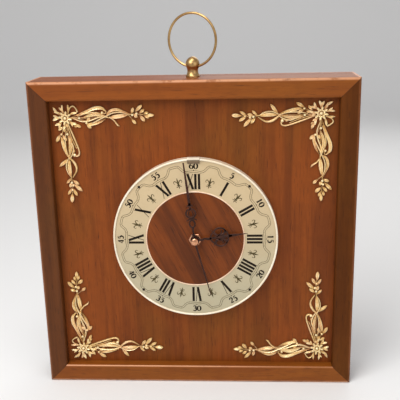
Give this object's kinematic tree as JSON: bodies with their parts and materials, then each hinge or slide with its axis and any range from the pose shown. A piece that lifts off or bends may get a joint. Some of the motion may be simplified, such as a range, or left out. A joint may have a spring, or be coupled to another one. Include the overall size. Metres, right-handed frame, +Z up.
{
  "type": "square wall clock",
  "caption": "Square wooden wall clock with a recessed panel, gilt corner castings, a round dial, three hands, a ring on top and a battery movement behind.",
  "frame": {"origin": "middle of the underside of the case: mid width, mid depth of the rails", "axes": "+X to the viewer's right, +Y from the dial towards the wall, +Z up"},
  "size_m": [0.305, 0.0584, 0.3642],
  "materials": {
    "walnut_rail": "oiled, satin",
    "walnut_panel": "oiled veneer, satin",
    "plain_wood": "raw, matt",
    "bright_steel": "satin",
    "zinc_steel": "zinc plated",
    "antique_gold": "cast, antiqued",
    "brass": "polished",
    "hardboard": "raw",
    "ivory_rim": "gloss",
    "chapter_print": "aged satin varnish",
    "dial_wood": "varnished veneer",
    "dark_pin": "blackened",
    "clip_metal": "satin",
    "bronze_hand": "bronzed",
    "black_plastic": "moulded, fine texture",
    "natural_plastic": "moulded",
    "wheel_plastic": "moulded",
    "pinion_steel": "turned",
    "magnet": "sintered",
    "lamination": "stamped",
    "copper_wire": "enamelled",
    "board_green": "varnished",
    "black_resin": "gloss",
    "bright_can": "bright",
    "cell_jacket": "gloss",
    "rubber": "moulded",
    "knob_white": "moulded, ribbed"
  },
  "bodies": {
    "case": {"rail_top": "walnut_rail", "rail_bottom": "walnut_rail", "rail_left": "walnut_rail", "rail_right": "walnut_rail", "front_panel": "walnut_panel", "panel_batten_top": "plain_wood", "panel_batten_bottom": "plain_wood", "panel_batten_left": "plain_wood", "panel_batten_right": "plain_wood", "batten_brads": "bright_steel", "glue_blocks": "plain_wood", "sawtooth_hanger": "zinc_steel", "hanger_nails": "zinc_steel", "corner_ornament_top_left": "antique_gold", "corner_ornament_top_right": "antique_gold", "corner_ornament_bottom_right": "antique_gold", "corner_ornament_bottom_left": "antique_gold", "ornament_pins": "antique_gold", "ring_post": "brass", "post_washer": "zinc_steel", "post_nut": "zinc_steel", "dial_backing": "hardboard", "dial_pan": "ivory_rim", "chapter_ring": "chapter_print", "inner_bezel": "ivory_rim", "dial_centre_wood": "dial_wood", "dial_pins": "dark_pin", "dial_clip": "clip_metal", "dial_nut": "brass", "centre_bushing": "brass", "movement_gasket": "rubber", "movement_front_case": "black_plastic", "movement_rear_case": "black_plastic", "middle_plate": "natural_plastic", "movement_screws": "zinc_steel", "stator": "lamination", "coil_bobbin": "natural_plastic", "coil_winding": "copper_wire", "circuit_board": "board_green", "timing_chip": "black_resin", "quartz_crystal": "bright_can", "positive_contact": "zinc_steel", "negative_contact": "zinc_steel"},
    "ring": {"hanging_ring": "brass"},
    "hour_train": {"hour_wheel": "wheel_plastic", "hour_hand": "bronze_hand"},
    "minute_train": {"minute_arbor": "brass", "minute_hand": "bronze_hand", "hand_nut": "brass"},
    "minute_wheel": {"minute_wheel": "wheel_plastic"},
    "set_knob": {"set_arbor": "pinion_steel", "set_knob": "knob_white"},
    "second_train": {"second_wheel": "wheel_plastic", "second_hand": "bronze_hand", "second_hand_cap": "brass"},
    "centre_wheel": {"centre_wheel": "wheel_plastic"},
    "third_wheel": {"third_wheel": "wheel_plastic"},
    "intermediate_wheel": {"intermediate_wheel": "wheel_plastic"},
    "rotor": {"rotor": "magnet"},
    "battery": {"battery": "cell_jacket"}
  },
  "joints": [
    {"name": "ring_swing", "type": "hinge", "parent": "case", "child": "ring", "pos_m": [0, 0, 0.315], "axis": [0.9225, -0.3859, 0], "range_deg": [-100, 100]},
    {"name": "minute_spin", "type": "hinge", "parent": "case", "child": "minute_train", "pos_m": [0, 0, 0.1525], "axis": [0, 1, 0], "continuous": true},
    {"name": "hour_spin", "type": "hinge", "parent": "case", "child": "hour_train", "pos_m": [0, 0, 0.1525], "axis": [0, 1, 0], "continuous": true},
    {"name": "minute_wheel_spin", "type": "hinge", "parent": "case", "child": "minute_wheel", "pos_m": [-0.0096, 0, 0.1525], "axis": [0, 1, 0], "continuous": true},
    {"name": "set_knob_spin", "type": "hinge", "parent": "case", "child": "set_knob", "pos_m": [-0.01511, 0, 0.16036], "axis": [0, 1, 0], "continuous": true},
    {"name": "second_spin", "type": "hinge", "parent": "case", "child": "second_train", "pos_m": [0, 0, 0.1525], "axis": [0, 1, 0], "continuous": true},
    {"name": "centre_wheel_spin", "type": "hinge", "parent": "case", "child": "centre_wheel", "pos_m": [0, 0, 0.1525], "axis": [0, 1, 0], "continuous": true},
    {"name": "third_wheel_spin", "type": "hinge", "parent": "case", "child": "third_wheel", "pos_m": [0.00883, 0, 0.1576], "axis": [0, 1, 0], "continuous": true},
    {"name": "intermediate_spin", "type": "hinge", "parent": "case", "child": "intermediate_wheel", "pos_m": [0, 0, 0.15925], "axis": [0, 1, 0], "continuous": true},
    {"name": "rotor_spin", "type": "hinge", "parent": "case", "child": "rotor", "pos_m": [0.00371, 0, 0.16454], "axis": [0, 1, 0], "continuous": true},
    {"name": "battery_slide", "type": "slide", "parent": "case", "child": "battery", "axis": [0, 1, 0], "range_m": [0, 0.018]}
  ],
  "couplings": [
    {"joint": "hour_spin", "follows": "minute_spin", "ratio": 0.083333},
    {"joint": "minute_wheel_spin", "follows": "minute_spin", "ratio": -0.33333},
    {"joint": "set_knob_spin", "follows": "minute_spin", "ratio": 1},
    {"joint": "centre_wheel_spin", "follows": "second_spin", "ratio": 0.016667},
    {"joint": "third_wheel_spin", "follows": "second_spin", "ratio": -0.13333},
    {"joint": "intermediate_spin", "follows": "second_spin", "ratio": -4},
    {"joint": "rotor_spin", "follows": "second_spin", "ratio": 30}
  ]
}
